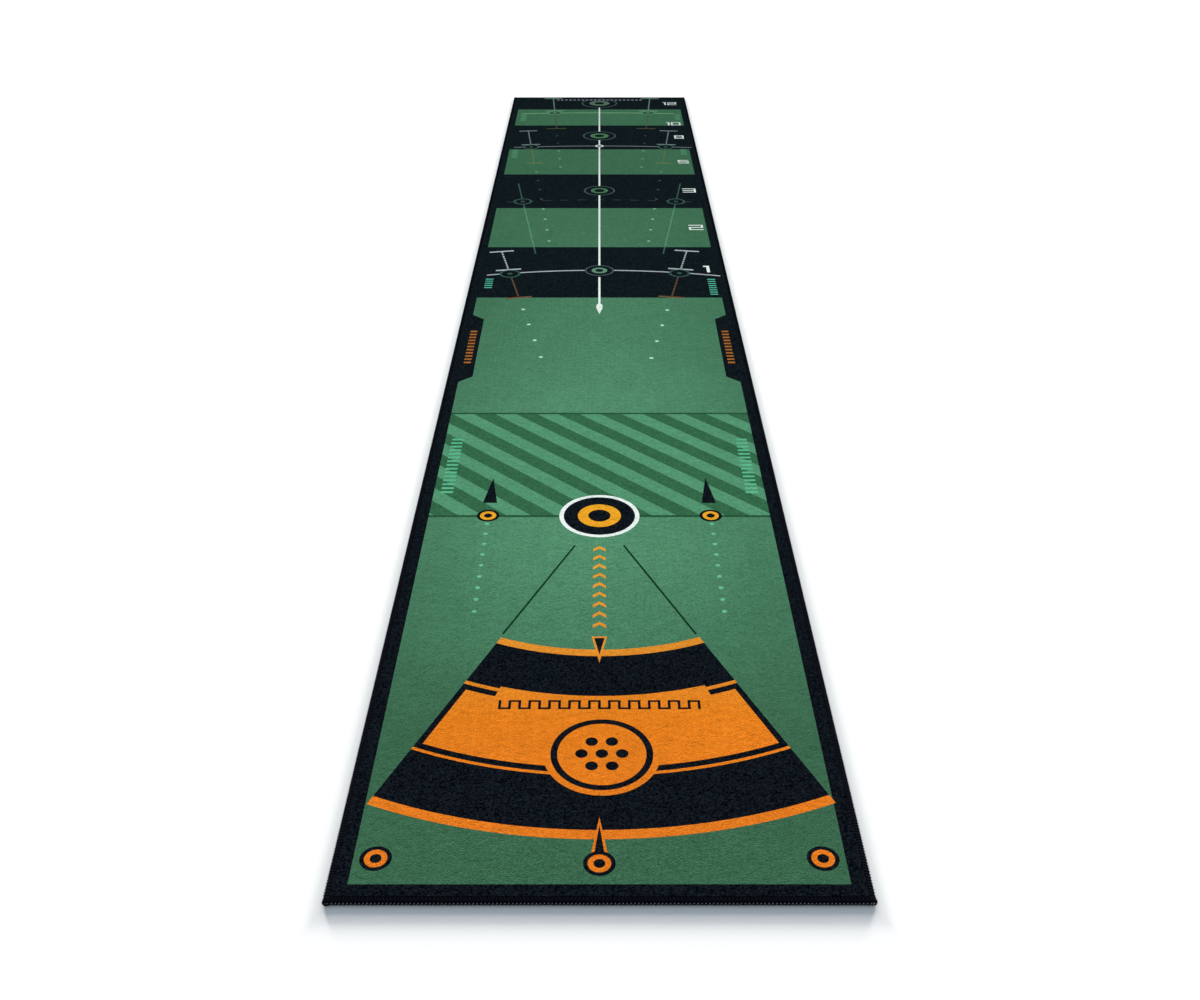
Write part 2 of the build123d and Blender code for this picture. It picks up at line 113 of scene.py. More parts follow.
class Nodes:
    # short way to wire a node tree
    def __init__(self, name):
        self.material = bpy.data.materials.new(name)
        self.material.use_nodes = True
        self.tree = self.material.node_tree
        self.tree.nodes.clear()
        self.out = self.add("ShaderNodeOutputMaterial")
        self.shader = self.add("ShaderNodeBsdfPrincipled")
        self.link(self.shader, "BSDF", self.out, "Surface")
        self.coords = self.add("ShaderNodeTexCoord")

    def add(self, kind, **settings):
        node = self.tree.nodes.new(kind)
        for key, value in settings.items():
            setattr(node, key, value)
        return node

    def link(self, source, output, target, socket):
        self.tree.links.new(source.outputs[output], target.inputs[socket])

    def place(self, scale, turn=(0, 0, 0)):
        mapping = self.add("ShaderNodeMapping")
        mapping.inputs["Scale"].default_value = scale
        mapping.inputs["Rotation"].default_value = turn
        self.link(self.coords, "Object", mapping, "Vector")
        return mapping

    def noise(self, scale, detail, stretch=(1, 1, 1)):
        node = self.add("ShaderNodeTexNoise")
        node.inputs["Scale"].default_value = scale
        node.inputs["Detail"].default_value = detail
        self.link(self.place(stretch), "Vector", node, "Vector")
        return node

    def cells(self, scale, stretch=(1, 1, 1)):
        node = self.add("ShaderNodeTexVoronoi")
        node.inputs["Scale"].default_value = scale
        self.link(self.place(stretch), "Vector", node, "Vector")
        return node

    def ramp(self, source, output, stops):
        node = self.add("ShaderNodeValToRGB")
        marks = node.color_ramp.elements
        while len(marks) < len(stops):
            marks.new(0.5)
        for mark, (place, colour) in zip(marks, stops):
            mark.position = place
            mark.color = colour
        self.link(source, output, node, "Fac")
        return node

    def mix(self, mode, amount, a, aOut, b, bOut):
        node = self.add("ShaderNodeMix", data_type="RGBA", blend_type=mode)
        node.inputs[0].default_value = amount
        self.tree.links.new(a.outputs[aOut], node.inputs[6])
        self.tree.links.new(b.outputs[bOut], node.inputs[7])
        return node

    def bump(self, source, output, strength, distance, before=None):
        node = self.add("ShaderNodeBump")
        node.inputs["Strength"].default_value = strength
        node.inputs["Distance"].default_value = distance
        self.link(source, output, node, "Height")
        if before:
            self.link(before, "Normal", node, "Normal")
        return node

    def finish(self, colour, colourOut, rough, sheen, bump, shine=0.04):
        self.link(colour, colourOut, self.shader, "Base Color")
        self.link(bump, "Normal", self.shader, "Normal")
        self.shader.inputs["Roughness"].default_value = rough
        self.shader.inputs["Specular IOR Level"].default_value = shine
        self.shader.inputs["Sheen Weight"].default_value = sheen
        self.shader.inputs["Sheen Roughness"].default_value = 0.5
        return self.material


def grey(level):
    return (level, level, level, 1.0)


pileLook = {
    "tuftsPerMetre": 620,   # one cell of the pile, about 1.6 mm
    "napPerMetre": 45,      # brushed patches
    "napDepth": 0.05,
    "driftPerMetre": 6,     # slow change of tone
    "driftDepth": 0.03,
    "streakStretch": (260, 9, 1),
    "streakDepth": 0.04,
    "bump": 0.4,
    "roughness": 1.0,
    # painted pool of light: the green is painted brightest in the middle and falls back to this tone at the
    # sides
    "paleGreen": (60, 104, 77),
    "sideFade": 0.45,       # how far the green falls back to that at the sides
    "sidePlace": 0.213,     # metres from the centre line where the fade is full
}

# dye and painted light: scatter from tuft to tuft, then its screen tones by distance from the near edge in
# metres; the green's rise to its brightest in the middle is a painted pool of light
dyesAndPaintedLight = {
    "pile_green": (9, [
        (0.20, (60, 104, 77)), (0.31, (66, 114, 85)), (0.39, (74, 128, 97)), (0.47, (78, 134, 102)),
        (0.59, (83, 142, 108)), (0.80, (84, 144, 110)), (0.98, (82, 140, 107)), (1.16, (78, 133, 101)),
        (1.40, (74, 127, 96)), (1.73, (67, 115, 86)), (1.89, (66, 114, 85)), (2.25, (61, 106, 79))]),
    "pile_green_light": (8, [(0.7, (84, 148, 112))]),
    "pile_green_dark": (8, [(0.7, (52, 104, 72))]),
    "pile_black": (15, [(0.3, (11, 18, 24)), (2.0, (12, 23, 27))]),
    "pile_orange": (6, [
        (0.09, (227, 122, 34)), (0.25, (230, 128, 31)), (0.36, (222, 140, 45)), (0.50, (230, 152, 45)),
        (0.66, (237, 166, 40)), (1.0, (230, 160, 50))]),
    "pile_white": (7, [(0.6, (238, 247, 243)), (1.5, (230, 240, 236)), (2.9, (206, 216, 214))]),
    "pile_mint": (8, [
        (0.6, (106, 188, 146)), (0.75, (92, 186, 142)), (1.5, (80, 176, 150)), (2.4, (84, 142, 108))]),
    "pile_sage": (7, [(1.6, (74, 100, 90))]),
    # painted shade: the undyed roots are coloured dark for the shade they lie in under the tufts and the yarn
    "pile_undyed": (6, [(1.5, (36, 42, 47))]),   # only its pressed edge shows, in the yarn's shade
}

# marks with a thinner or stronger dye than their slot's own
markDyes = {
    "guide_lines": (5, [(0.3, (18, 56, 38))]),
    "tab_ladders": (6, [(1.2, (166, 102, 45))]),
    "orange_rays": (6, [
        (1.56, (112, 82, 58)), (2.32, (102, 116, 66)), (2.46, (102, 116, 66)), (2.64, (76, 76, 50))]),
    "gate_sights": (6, [
        (1.71, (176, 186, 190)), (2.48, (120, 138, 138)), (2.64, (120, 138, 138)), (2.84, (112, 150, 128))]),
    "distance_arc_1": (6, [(1.58, (168, 178, 181))]),
    "distance_arc_2": (5, [(2.03, (62, 70, 72))]),
    "distance_arc_3": (6, [(2.47, (108, 113, 119))]),
    "distance_arc_4": (6, [(2.82, (118, 158, 118))]),
    "long_sights": (6, [
        (1.71, (60, 86, 82)), (1.72, (82, 138, 110)), (1.965, (82, 138, 110)), (1.975, (56, 84, 80))]),
    "ray_dots": (6, [
        (1.43, (184, 228, 200)), (1.45, (66, 86, 84)), (1.715, (66, 86, 84)), (1.725, (142, 190, 164)),
        (1.965, (142, 190, 164)), (1.975, (66, 86, 84)), (2.225, (66, 86, 84)), (2.235, (112, 160, 132)),
        (2.44, (112, 160, 132)), (2.45, (58, 76, 76)), (2.675, (58, 76, 76)), (2.685, (96, 144, 112))]),
    "cup_outer_rings": (5, [(2.0, (70, 86, 86))]),
    "cup_inner_rings": (6, [
        (1.58, (96, 142, 116)), (2.1, (70, 116, 82)), (2.58, (70, 116, 82)), (2.93, (80, 106, 90))]),
    "gate_rings": (6, [(1.57, (54, 86, 76)), (2.5, (60, 90, 78)), (2.8, (86, 142, 106))]),
    "gate_black": (8, [(2.5, (14, 24, 28)), (2.8, (50, 86, 62))]),
    "end_row": (6, [(2.97, (97, 100, 110))]),
    "hatch_edge_lines": (6, [(0.66, (40, 84, 58))]),
}


def alongMat(nodes, tones, shift):
    # a colour whose tone changes from end to end; on the green this change is a painted pool of light,
    # brightest in the middle
    split = nodes.add("ShaderNodeSeparateXYZ")
    nodes.link(nodes.coords, "Object", split, "Vector")
    reach = nodes.add("ShaderNodeMapRange")
    reach.inputs["From Min"].default_value = cadLow.y
    reach.inputs["From Max"].default_value = cadHigh.y
    nodes.link(split, "Y", reach, "Value")
    length = cadHigh.y - cadLow.y
    stops = [(metres / length, linear([max(tone + shift, 1) for tone in shade])) for metres, shade in tones]
    if len(stops) == 1:
        stops = stops * 2
    return nodes.ramp(reach, "Result", stops)


def lightPoolFade(nodes, colour):
    # painted pool of light: the bright green of the middle runs out towards both sides
    split = nodes.add("ShaderNodeSeparateXYZ")
    nodes.link(nodes.coords, "Object", split, "Vector")
    square = nodes.add("ShaderNodeMath", operation="MULTIPLY")
    nodes.link(split, "X", square, 0)
    nodes.link(split, "X", square, 1)
    fade = nodes.add("ShaderNodeMapRange")
    fade.inputs["From Max"].default_value = pileLook["sidePlace"] ** 2
    fade.inputs["To Max"].default_value = pileLook["sideFade"]
    nodes.link(square, "Value", fade, "Value")
    faded = nodes.add("ShaderNodeMix", data_type="RGBA")
    faded.inputs[7].default_value = linear(pileLook["paleGreen"])
    nodes.link(fade, "Result", faded, 0)
    nodes.link(colour, 2, faded, 6)
    return faded


def pileMaterial(name, dyeAndLight):
    look = pileLook
    spread, tones = dyeAndLight
    nodes = Nodes(name + "_tufts")
    tufts = nodes.cells(look["tuftsPerMetre"])
    dark = alongMat(nodes, tones, -spread)
    light = alongMat(nodes, tones, spread)
    scatter = nodes.add("ShaderNodeSeparateColor")
    nodes.link(tufts, "Color", scatter, "Color")
    colour = nodes.mix("MIX", 0.5, dark, "Color", light, "Color")
    nodes.link(scatter, "Red", colour, 0)
    if name == "pile_green":
        colour = lightPoolFade(nodes, colour)
    # painted shade: the pile's colour is darkened in the gaps between tufts
    tuftGapShade = nodes.ramp(tufts, "Distance", [(0.25, grey(1.0)), (0.75, grey(0.8))])
    colour = nodes.mix("MULTIPLY", 1.0, colour, 2, tuftGapShade, "Color")
    for unevenness, depth in (
        (nodes.noise(look["napPerMetre"], 4), look["napDepth"]),
        (nodes.noise(look["driftPerMetre"], 2), look["driftDepth"]),
        (nodes.noise(1, 2, look["streakStretch"]), look["streakDepth"]),
    ):
        tone = nodes.ramp(unevenness, "Fac", [(0.3, grey(1 - depth)), (0.7, grey(1 + depth))])
        colour = nodes.mix("MULTIPLY", 1.0, colour, 2, tone, "Color")
    fibre = nodes.bump(nodes.noise(2400, 3), "Fac", 0.3, 0.0003)
    domes = nodes.add("ShaderNodeMath", operation="SUBTRACT")
    domes.inputs[0].default_value = 1.0
    nodes.link(tufts, "Distance", domes, 1)
    bump = nodes.bump(domes, "Value", look["bump"], 0.0007, fibre)
    return nodes.finish(colour, 2, look["roughness"], 0.0, bump, shine=0.0)


yarnLook = {
    "twistPerMetre": 420,
    "twistWaver": 1.5,
    "fuzzPerMetre": 500,
    "fuzzDepth": 0.2,
    "roughness": 0.9,
    "strandTones": ((9, 10, 15), (26, 27, 36)),
    # painted highlight: the purl knots are the same yarn as the strands, coloured much lighter to show as light
    # ticks
    "purlHighlightTones": ((118, 124, 124), (168, 176, 176)),
}


def yarnMaterial(name, tones):
    # plied polyester yarn: fine twist along the strand
    dark, light = tones
    depth = yarnLook["fuzzDepth"]
    nodes = Nodes(name)
    twist = nodes.add("ShaderNodeTexWave", wave_type="BANDS", bands_direction="DIAGONAL")
    twist.inputs["Scale"].default_value = yarnLook["twistPerMetre"]
    twist.inputs["Distortion"].default_value = yarnLook["twistWaver"]
    nodes.link(nodes.place((1, 1, 1)), "Vector", twist, "Vector")
    # painted shade: the twist's grooves are coloured darker than its ridges
    tone = nodes.ramp(twist, "Color", [(0.2, linear(dark)), (0.8, linear(light))])
    strays = nodes.noise(yarnLook["fuzzPerMetre"], 3)
    fuzz = nodes.ramp(strays, "Fac", [(0.3, grey(1 - depth)), (0.7, grey(1 + depth))])
    colour = nodes.mix("MULTIPLY", 1.0, tone, "Color", fuzz, "Color")
    bump = nodes.bump(twist, "Color", 0.5, 0.0002)
    return nodes.finish(colour, 2, yarnLook["roughness"], 0.0, bump, shine=0.0)


rubberLook = {
    "grainPerMetre": 900,
    "dustPerMetre": 14,
    "clean": (26, 27, 28),
    "dusty": (44, 45, 46),
    "roughness": 0.75,
    "shine": 0.4,
}


def rubberMaterial():
    look = rubberLook
    nodes = Nodes("rubber_moulded")
    grain = nodes.noise(look["grainPerMetre"], 4)
    dust = nodes.noise(look["dustPerMetre"], 5)
    tone = nodes.ramp(dust, "Fac", [(0.35, linear(look["clean"])), (0.75, linear(look["dusty"]))])
    fleck = nodes.ramp(grain, "Fac", [(0.3, grey(0.9)), (0.7, grey(1.12))])
    colour = nodes.mix("MULTIPLY", 1.0, tone, "Color", fleck, "Color")
    bump = nodes.bump(grain, "Fac", 0.4, 0.0002)
    return nodes.finish(colour, 2, look["roughness"], 0.0, bump, shine=look["shine"])


latexLook = {
    "brushStretch": (25, 220, 1),
    "bubblesPerMetre": 420,
    "thin": (196, 190, 168),
    "thick": (222, 217, 198),
    "roughness": 0.55,
}


def latexMaterial():
    look = latexLook
    nodes = Nodes("latex_cured")
    brush = nodes.noise(1, 4, look["brushStretch"])
    tone = nodes.ramp(brush, "Fac", [(0.3, linear(look["thin"])), (0.7, linear(look["thick"]))])
    bubbles = nodes.cells(look["bubblesPerMetre"])
    # painted shade: the latex is darkened in its bubbles' pits
    pitShade = nodes.ramp(bubbles, "Distance", [(0.04, grey(0.75)), (0.12, grey(1.0))])
    colour = nodes.mix("MULTIPLY", 1.0, tone, "Color", pitShade, "Color")
    bump = nodes.bump(brush, "Fac", 0.5, 0.0003)
    return nodes.finish(colour, 2, look["roughness"], 0.0, bump)


weaveLook = {
    "tapesPerMetre": 700,
    "warp": (188, 180, 158),
    "weft": (166, 158, 138),
    "frayPerMetre": 300,
    "roughness": 0.6,
    "sheen": 0.1,
}


def weaveMaterial():
    # plain weave of flat tapes, over and under
    look = weaveLook
    nodes = Nodes("backing_weave")
    checker = nodes.add("ShaderNodeTexChecker")
    checker.inputs["Scale"].default_value = look["tapesPerMetre"]
    checker.inputs["Color1"].default_value = linear(look["warp"])
    checker.inputs["Color2"].default_value = linear(look["weft"])
    nodes.link(nodes.place((1, 1, 0.001)), "Vector", checker, "Vector")
    frayed = nodes.noise(look["frayPerMetre"], 3, (1, 0.2, 1))
    fray = nodes.ramp(frayed, "Fac", [(0.3, grey(0.9)), (0.7, grey(1.08))])
    colour = nodes.mix("MULTIPLY", 1.0, checker, "Color", fray, "Color")
    bump = nodes.bump(checker, "Fac", 0.4, 0.0002)
    return nodes.finish(colour, 2, look["roughness"], look["sheen"], bump)


materials = {name: pileMaterial(name, dyeAndLight) for name, dyeAndLight in [*dyesAndPaintedLight.items(), *markDyes.items()]}
materials["overlock_yarn"] = yarnMaterial("overlock_strand", yarnLook["strandTones"])
# painted highlight: a lit copy of the overlock yarn for the purl knots
materials["overlock_purl_highlight"] = yarnMaterial("overlock_purl_highlight", yarnLook["purlHighlightTones"])
materials["rubber"] = rubberMaterial()
materials["latex"] = latexMaterial()
materials["backing_cloth"] = weaveMaterial()
print("materials:", len(materials))


pile = {
    "pitch": 3.0 * mm,       # spacing of the pile's surface points
    "edgePitch": 2.0 * mm,   # and of the points on an outline
    "jitter": 0.14,          # share of the pitch that a point strays
    "clearance": 1.35 * mm,  # least distance to a point on the outline
    "lumpSize": 5.0 * mm,
    "lumpHeight": 0.4 * mm,
    "tuftSize": 2.4 * mm,
    "tuftHeight": 0.4 * mm,
    "sliver": 0.02 * mm ** 2,  # thinner faces, on a curve's rim, stay out of the smooth shading
}
rowStep = 0.866 * pile["pitch"]  # staggered rows
lumps = cloudTexture("nap_lumps", pile["lumpSize"], 1)
tuftTips = cloudTexture("tuft_tips", pile["tuftSize"], 0)


def outline(node):
    # the border of a dyed area's flat top: points and edges, divided to the pile's pitch
    bm = bmesh.new()
    bm.from_mesh(node.data)
    bmesh.ops.remove_doubles(bm, verts=bm.verts, dist=1e-6)
    top = max(v.co.z for v in bm.verts)
    low = min(v.co.z for v in bm.verts)
    upper = {f for f in bm.faces if all(v.co.z > top - 1e-5 for v in f.verts)}
    points, edges, index = [], [], {}
    for edge in bm.edges:
        if sum(f in upper for f in edge.link_faces) != 1:
            continue
        ends = []
        for v in edge.verts:
            if v.index not in index:
                index[v.index] = len(points)
                points.append(v.co.xy.copy())
            ends.append(index[v.index])
        start, end = points[ends[0]], points[ends[1]]
        cuts = max(1, math.ceil((end - start).length / pile["edgePitch"]))
        chain = [ends[0]]
        for step in range(1, cuts):
            chain.append(len(points))
            points.append(start.lerp(end, step / cuts))
        chain.append(ends[1])
        edges.extend(zip(chain[:-1], chain[1:]))
    bm.free()
    return points, edges, low, top


def stripsOf(points, edges):
    # edges sorted into strips across the mat, so that a test reads only the few near it
    strips = {}
    for a, b in edges:
        low, high = sorted((points[a].y, points[b].y))
        for strip in range(math.floor(low / rowStep), math.floor(high / rowStep) + 1):
            strips.setdefault(strip, []).append((points[a], points[b]))
    return strips


def crossings(strips, y):
    # where the outline crosses a height, from left to right
    found = []
    for p, q in strips.get(math.floor(y / rowStep), []):
        if (p.y > y) != (q.y > y):
            found.append(p.x + (y - p.y) / (q.y - p.y) * (q.x - p.x))
    return sorted(found)


def innerPoints(points, strips, seed):
    rng = random.Random(seed)
    pitch = pile["pitch"]
    stray = pile["jitter"] * pitch
    border = KDTree(len(points))
    for i, p in enumerate(points):
        border.insert((p.x, p.y, 0), i)
    border.balance()
    inner = []
    for row in sorted(strips):
        y = (row + 0.5) * rowStep
        cuts = crossings(strips, y)
        shift = 0.5 * pitch * (row % 2)
        for left, right in zip(cuts[0::2], cuts[1::2]):
            for column in range(math.ceil((left - shift) / pitch), math.floor((right - shift) / pitch) + 1):
                x = column * pitch + shift + rng.uniform(-stray, stray)
                place = Vector((x, y + rng.uniform(-stray, stray)))
                if border.find((place.x, place.y, 0))[2] > pile["clearance"]:
                    inner.append(place)
    return inner


def triangulate(points, edges, strips, extra):
    placed, _, faces, *_ = delaunay_2d_cdt(points + extra, edges, [], 1, 1e-7, False)
    border = len(points)
    kept = []
    for face in faces:
        if all(i < border for i in face):
            middle = (placed[face[0]] + placed[face[1]] + placed[face[2]]) / 3
            if sum(x < middle.x for x in crossings(strips, middle.y)) % 2 == 0:
                continue
        kept.append(list(face))
    return placed, kept


def pilePiece(nodeName, seed):
    points, edges, low, top = outline(frame["nodes"][nodeName])
    strips = stripsOf(points, edges)
    placed, upper = triangulate(points, edges, strips, innerPoints(points, strips, seed))
    underPlaced, under = triangulate(points, edges, strips, [])
    count = len(placed)
    verts = [(p.x, p.y, top) for p in placed] + [(p.x, p.y, low) for p in underPlaced]
    faces = list(upper)
    faces.extend([count + i for i in reversed(face)] for face in under)
    rim = set()
    for face in upper:
        for a, b in zip(face, face[1:] + face[:1]):
            if (b, a) in rim:
                rim.discard((b, a))
            else:
                rim.add((a, b))
    faces.extend([b, a, a + count, b + count] for a, b in sorted(rim))
    piece = meshObject(nodeName + "_pile", verts, faces)
    tips = piece.vertex_groups.new(name="tips")
    tips.add(list(range(len(points), count)), 1.0, "REPLACE")  # neighbours meet level along their border
    for edge in piece.data.edges:
        a, b = edge.vertices
        edge.use_edge_sharp = (a, b) in rim or (b, a) in rim
    displace(piece, lumps, pile["lumpHeight"], group="tips")
    displace(piece, tuftTips, pile["tuftHeight"], group="tips")
    for polygon in piece.data.polygons:
        polygon.use_smooth = polygon.index < len(upper) and polygon.area > pile["sliver"]
    piece.data.materials.append(materials.get(nodeName, materials[slotOf[nodeName]]))
    return finishPiece(piece, slotOf[nodeName], [nodeName])


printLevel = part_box("tuft_roots")[1].z - 1e-4
printed = [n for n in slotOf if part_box(n)[0].z > printLevel]
for seed, nodeName in enumerate(printed):
    pilePiece(nodeName, seed)
print("dyed areas:", len(printed))


def layer(name, nodeName, materialName, across, along, topOf, underOf):
    # closed sheet on grid lines, its two faces shaped by a height for each place
    low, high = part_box(nodeName)
    verts, faces = [], []
    nx, ny = len(across), len(along)
    for heightOf in (topOf, underOf):
        for y in along:
            for x in across:
                verts.append((x, y, heightOf(x, y)))
    half = nx * ny
    for j in range(ny - 1):
        for i in range(nx - 1):
            a = j * nx + i
            quad = [a, a + 1, a + nx + 1, a + nx]
            faces.append(quad)
            faces.append([half + k for k in reversed(quad)])
    ring = list(range(nx))
    ring += [j * nx + nx - 1 for j in range(1, ny)]
    ring += [(ny - 1) * nx + i for i in range(nx - 2, -1, -1)]
    ring += [j * nx for j in range(ny - 2, 0, -1)]
    for a, b in zip(ring, ring[1:] + ring[:1]):
        faces.append([b, a, half + a, half + b])
    piece = meshObject(name, verts, faces)
    piece.data.materials.append(materials[materialName])
    return finishPiece(piece, slotOf[nodeName], [nodeName])


stepWidth = 0.05 * mm  # a step between two levels is this wide


def gridLines(low, high, edge, count):
    # lines from side to side, with one at the inner edge of each lap
    inner = [low + edge + (high - low - 2 * edge) * k / count for k in range(count + 1)]
    return [low, low + edge - stepWidth, *inner, high - edge + stepWidth, high]


rubber = {
    "pockets": 20,
    "pocketsAlong": 124,
    "pocketDepth": 0.5 * mm,
    "wall": 0.16,          # share of a pocket's pitch
    "lapRise": 0.8 * mm,   # the yarn runs under the mat here
}
rubberLow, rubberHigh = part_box("rubber_backing")
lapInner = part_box("black_border")[1]
lapWidth = rubberHigh.x - lapInner.x


def inLap(x, y):
    # within the width that the yarn wraps
    return abs(x) > lapInner.x + stepWidth / 5 or abs(y) > lapInner.y + stepWidth / 5


def pocketLines(low, high, count):
    # waffle: each pocket has a floor between two sloping walls
    lines = [low]
    pitch = (high - low) / count
    for k in range(count):
        start = low + k * pitch
        lines += [start + rubber["wall"] * pitch, start + 2 * rubber["wall"] * pitch]
        lines += [start + (1 - 2 * rubber["wall"]) * pitch, start + (1 - rubber["wall"]) * pitch]
    return lines + [high]


def inPocket(value, low, high, count):
    place = (value - low) / (high - low) * count % 1
    return 1.9 * rubber["wall"] < place < 1 - 1.9 * rubber["wall"]


def rubberUnder(x, y):
    if inLap(x, y):
        return rubberLow.z + rubber["lapRise"]
    if inPocket(x, -lapInner.x, lapInner.x, rubber["pockets"]):
        if inPocket(y, -lapInner.y, lapInner.y, rubber["pocketsAlong"]):
            return rubberLow.z + rubber["pocketDepth"]
    return rubberLow.z


def rubberLines(low, high, inner, count):
    # the outer edges, a step at each lap and the pockets between
    return [low, -inner - stepWidth, *pocketLines(-inner, inner, count), inner + stepWidth, high]


rubberAcross = rubberLines(rubberLow.x, rubberHigh.x, lapInner.x, rubber["pockets"])
rubberAlong = rubberLines(rubberLow.y, rubberHigh.y, lapInner.y, rubber["pocketsAlong"])
layer("rubber_waffle_sheet", "rubber_backing", "rubber", rubberAcross, rubberAlong,
      lambda x, y: rubberHigh.z, rubberUnder)

sheets = {"lines": 24, "linesAlong": 144, "unevenSize": 30 * mm, "uneven": 0.06 * mm, "press": 0.4 * mm}
unevenTexture = cloudTexture("uneven_coat", sheets["unevenSize"], 1)


def flatLayer(name, nodeName, materialName, pressed=None):
    low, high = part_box(nodeName)
    across = gridLines(low.x, high.x, lapWidth, sheets["lines"])
    along = gridLines(low.y, high.y, lapWidth, sheets["linesAlong"])

    def topOf(x, y):
        return pressed if pressed and inLap(x, y) else high.z

    piece = layer(name, nodeName, materialName, across, along, topOf, lambda x, y: low.z)
    displace(piece, unevenTexture, sheets["uneven"])
    return piece


flatLayer("latex_film", "latex_coat", "latex")
baseCloth = flatLayer("backing_cloth_sheet", "primary_backing", "backing_cloth")
flatLayer("tuft_roots_pile", "tuft_roots", "pile_undyed", pressed=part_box("tuft_roots")[1].z - sheets["press"])
print("layers done")


stitch = {
    "pitch": 3.55 * mm,
    "width": 2.5 * mm,
    "thickness": 1.1 * mm,
    "underWidth": 1.9 * mm,
    "underThickness": 0.8 * mm,
    "lean": 0.5 * mm,
    "sides": 5,
    "underSides": 4,
    "purlLength": 2.4 * mm,
    "purlThickness": 1.6 * mm,
    "purlHeight": 3.6 * mm,
    "purlOut": 6.05 * mm,
    "purlFlatness": 0.6,
    "purlSlant": 0.55,
    "endTaper": 0.7,
    "underOut": 0.965,      # the lower thread lies a little inside the upper one
    "underHeight": 0.97,
    "underLift": 0.1 * mm,
    "wander": 0.35 * mm,
    "wanderUp": 0.6,        # share of that for height
    "wanderSize": 7 * mm,
    "cornerGap": 1 * mm,    # from the end of a run to the corner's own stitches
    "cornerFan": 5,         # stitches round each corner
    "cornerReach": 1.38,    # how far the longest of them is stretched
}
# a stitch seen from its end: distance out from the lap's inner edge, and height, in mm
stitchPath = [
    (-0.4, 5.3), (0.5, 5.6), (3.2, 5.6), (4.9, 5.05), (5.5, 3.4), (5.3, 1.2), (3.6, 0.45), (0.3, 0.45)]


def strand(verts, faces, marks, path, width, thickness, sides, toWorld):
    # flattened tube along a path of (out, height, along) in metres
    first = len(verts)
    for k, (out, height, along) in enumerate(path):
        before, after = path[max(k - 1, 0)], path[min(k + 1, len(path) - 1)]
        tangent = Vector((after[0] - before[0], after[1] - before[1])).normalized()
        normal = Vector((-tangent.y, tangent.x))
        taper = stitch["endTaper"] if k in (0, len(path) - 1) else 1.0
        for s in range(sides):
            turn = 2 * math.pi * s / sides
            lift = math.cos(turn) * thickness / 2 * taper
            side = math.sin(turn) * width / 2 * taper
            verts.append(toWorld(out + normal.x * lift, along + side, height + normal.y * lift))
    for k in range(len(path) - 1):
        for s in range(sides):
            a = first + k * sides + s
            b = first + k * sides + (s + 1) % sides
            faces.append([a, b, b + sides, a + sides])
            marks.append(0)
    faces.append([first + s for s in reversed(range(sides))])
    faces.append([first + (len(path) - 1) * sides + s for s in range(sides)])
    marks.extend([0, 0])


def addStitch(verts, faces, marks, toWorld, stretch=1.0):
    lean = stitch["lean"]
    count = len(stitchPath) - 1
    path = [(o * mm * stretch, h * mm, lean * (2 * k / count - 1)) for k, (o, h) in enumerate(stitchPath)]
    strand(verts, faces, marks, path, stitch["width"], stitch["thickness"], stitch["sides"], toWorld)
    deep = []
    for out, height, along in path:
        height = height * stitch["underHeight"] + stitch["underLift"]
        deep.append((out * stitch["underOut"], height, along + stitch["pitch"] / 2))
    strand(verts, faces, marks, deep, stitch["underWidth"], stitch["underThickness"],
           stitch["underSides"], toWorld)


def addPurl(verts, faces, marks, toWorld, stretch=1.0):
    # the knot where the upper and lower loops lock, on the outside of the edge
    half = stitch["purlLength"] / 2
    radius = stitch["purlThickness"] / 2
    out = stitch["purlOut"] * stretch
    sides = stitch["sides"]
    first = len(verts)
    stations = [(-1.0, 0.35), (0.0, 1.0), (1.0, 0.35)]
    for place, swell in stations:
        for s in range(sides):
            turn = 2 * math.pi * s / sides
            slant = place * half * stitch["purlSlant"]
            verts.append(toWorld(
                out + math.cos(turn) * radius * swell * stitch["purlFlatness"],
                slant,
                stitch["purlHeight"] + slant + math.sin(turn) * radius * swell,
            ))
    for k in range(len(stations) - 1):
        for s in range(sides):
            a = first + k * sides + s
            b = first + k * sides + (s + 1) % sides
            faces.append([a, a + sides, b + sides, b])
            marks.append(1)
    faces.append([first + s for s in range(sides)])
    faces.append([first + (len(stations) - 1) * sides + s for s in reversed(range(sides))])
    marks.extend([1, 1])


def yarnPiece(name, verts, faces, marks, nodes=()):
    piece = meshObject(name, verts, faces)
    piece.data.materials.append(materials["overlock_yarn"])
    piece.data.materials.append(materials["overlock_purl_highlight"])
    for polygon, mark in zip(piece.data.polygons, marks):
        polygon.material_index = mark
        polygon.use_smooth = True
    bm = bmesh.new()
    bm.from_mesh(piece.data)
    bmesh.ops.recalc_face_normals(bm, faces=bm.faces)
    bm.to_mesh(piece.data)
    bm.free()
    return finishPiece(piece, "overlock_yarn", nodes)


wander = cloudTexture("yarn_wander", stitch["wanderSize"], 1)


